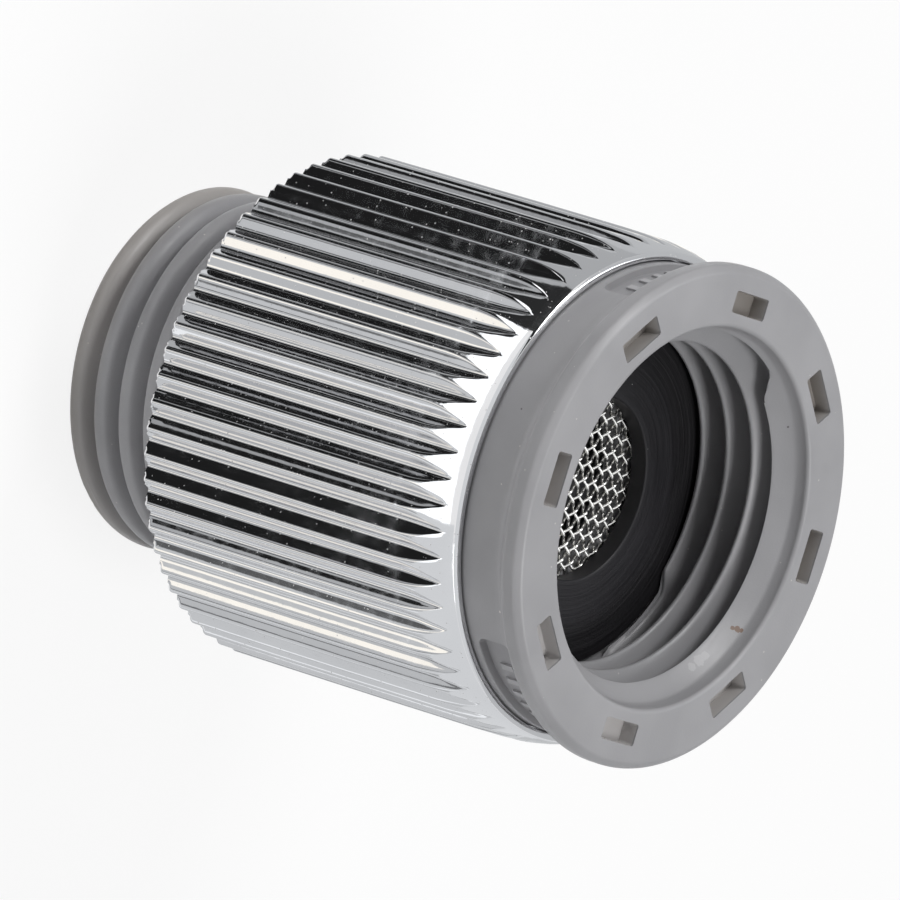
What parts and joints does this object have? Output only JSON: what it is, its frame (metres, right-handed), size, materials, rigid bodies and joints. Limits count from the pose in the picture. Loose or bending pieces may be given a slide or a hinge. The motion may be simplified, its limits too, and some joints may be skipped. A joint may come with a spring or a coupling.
{
  "type": "shower flow regulator",
  "caption": "In-line shower flow regulator: fluted turning sleeve between a male outlet thread and a female inlet socket with a filter washer, sealed inner piston.",
  "frame": {"origin": "centre of the outlet end, which the part stands on", "axes": "+Z along the common axis, from the outlet end to the inlet socket; +X through a drive pin at rest"},
  "size_m": [0.029, 0.029, 0.0364],
  "materials": {
    "body_plastic": "satin moulded plastic",
    "chromed_plastic": "bright plated plastic",
    "inner_plastic": null,
    "pin_steel": "ground",
    "seal_rubber": "matt",
    "washer_rubber": "matt",
    "screen_steel": "bright drawn wire"
  },
  "bodies": {
    "body": {"inlet_body": "body_plastic", "outlet_body": "body_plastic", "metering_plug": "inner_plastic", "filter_washer": "washer_rubber", "filter_screen": "screen_steel", "body_seal": "seal_rubber", "sleeve_seal_upper": "seal_rubber", "sleeve_seal_lower": "seal_rubber"},
    "sleeve": {"grip_sleeve": "chromed_plastic", "cam_ring": "inner_plastic"},
    "piston": {"throttle_piston": "inner_plastic", "drive_pin_1": "pin_steel", "drive_pin_2": "pin_steel", "piston_seal_upper": "seal_rubber", "piston_seal_lower": "seal_rubber"}
  },
  "joints": [
    {"name": "sleeve_turn", "type": "hinge", "parent": "body", "child": "sleeve", "pos_m": [0, 0, 0.0205], "axis": [0, 0, -1], "range_deg": [0, 160]},
    {"name": "piston_slide", "type": "slide", "parent": "body", "child": "piston", "axis": [0, 0, 1], "range_m": [0, 0.0024]}
  ],
  "couplings": [
    {"joint": "piston_slide", "follows": "sleeve_turn", "m_per_rad": 0.00085943}
  ]
}
